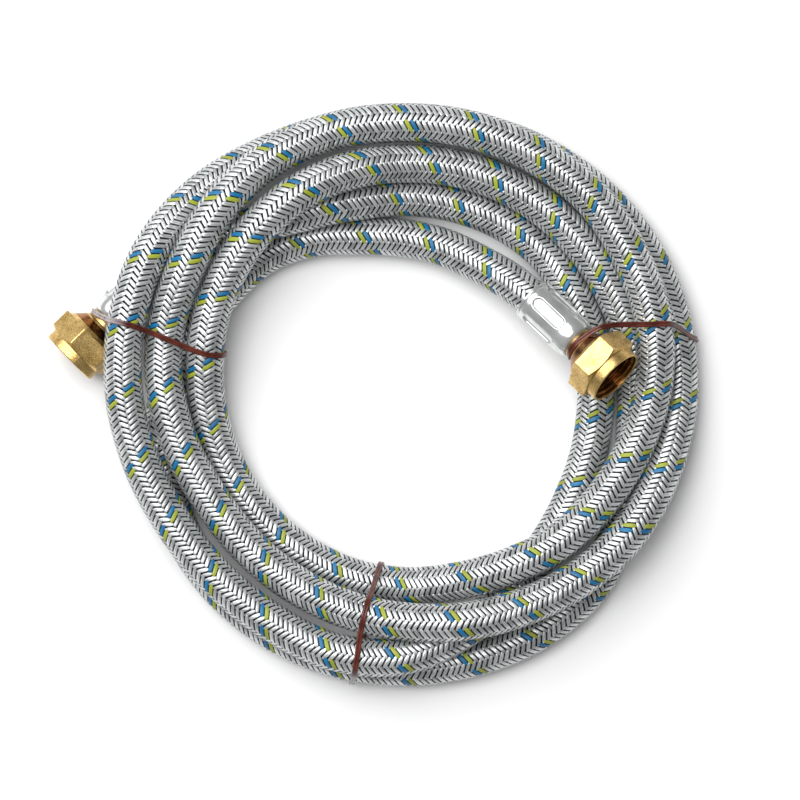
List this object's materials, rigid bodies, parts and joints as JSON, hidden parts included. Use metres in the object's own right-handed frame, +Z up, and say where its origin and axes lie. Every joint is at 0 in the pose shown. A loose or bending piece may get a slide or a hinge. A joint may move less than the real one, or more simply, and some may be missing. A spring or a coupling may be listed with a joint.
{
  "type": "braided hose",
  "caption": "Long flexible hose with an aluminium wire braid, coiled flat and tied, with a loose hexagon union nut on a pressed ferrule at each end.",
  "frame": {"origin": "centre of the bounding box's base, on the surface the coil lies on, close to the middle of the coil's eye", "axes": "+Z up, square to the coil; +X from the fitting outside the coil to the one above it; +Y away from the bottom tie"},
  "size_m": [0.2481, 0.2216, 0.0468],
  "materials": {
    "braid": "bright woven wire with one blue and one yellow-green tracer bundle",
    "liner": "matt",
    "nut": "bright, lightly pitted",
    "stem": "turned",
    "ferrule": "bright pressed sleeve",
    "washer": "matt",
    "tie": "glossy reddish brown"
  },
  "bodies": {
    "hose": {"braided_sleeve": "braid", "inner_liner": "liner", "left_stem": "stem", "left_ferrule": "ferrule", "right_stem": "stem", "right_ferrule": "ferrule", "left_tie": "tie", "bottom_tie": "tie", "right_tie": "tie"},
    "left_nut": {"left_union_nut": "nut", "left_seal_washer": "washer"},
    "right_nut": {"right_union_nut": "nut", "right_seal_washer": "washer"}
  },
  "joints": [
    {"name": "left_nut_spin", "type": "hinge", "parent": "hose", "child": "left_nut", "pos_m": [-0.11613, 0.01405, 0.0141], "axis": [0.7181, 0.6959, 0], "continuous": true},
    {"name": "right_nut_spin", "type": "hinge", "parent": "hose", "child": "right_nut", "pos_m": [0.09168, 0.00636, 0.036], "axis": [-0.6864, 0.6583, -0.309], "continuous": true}
  ]
}
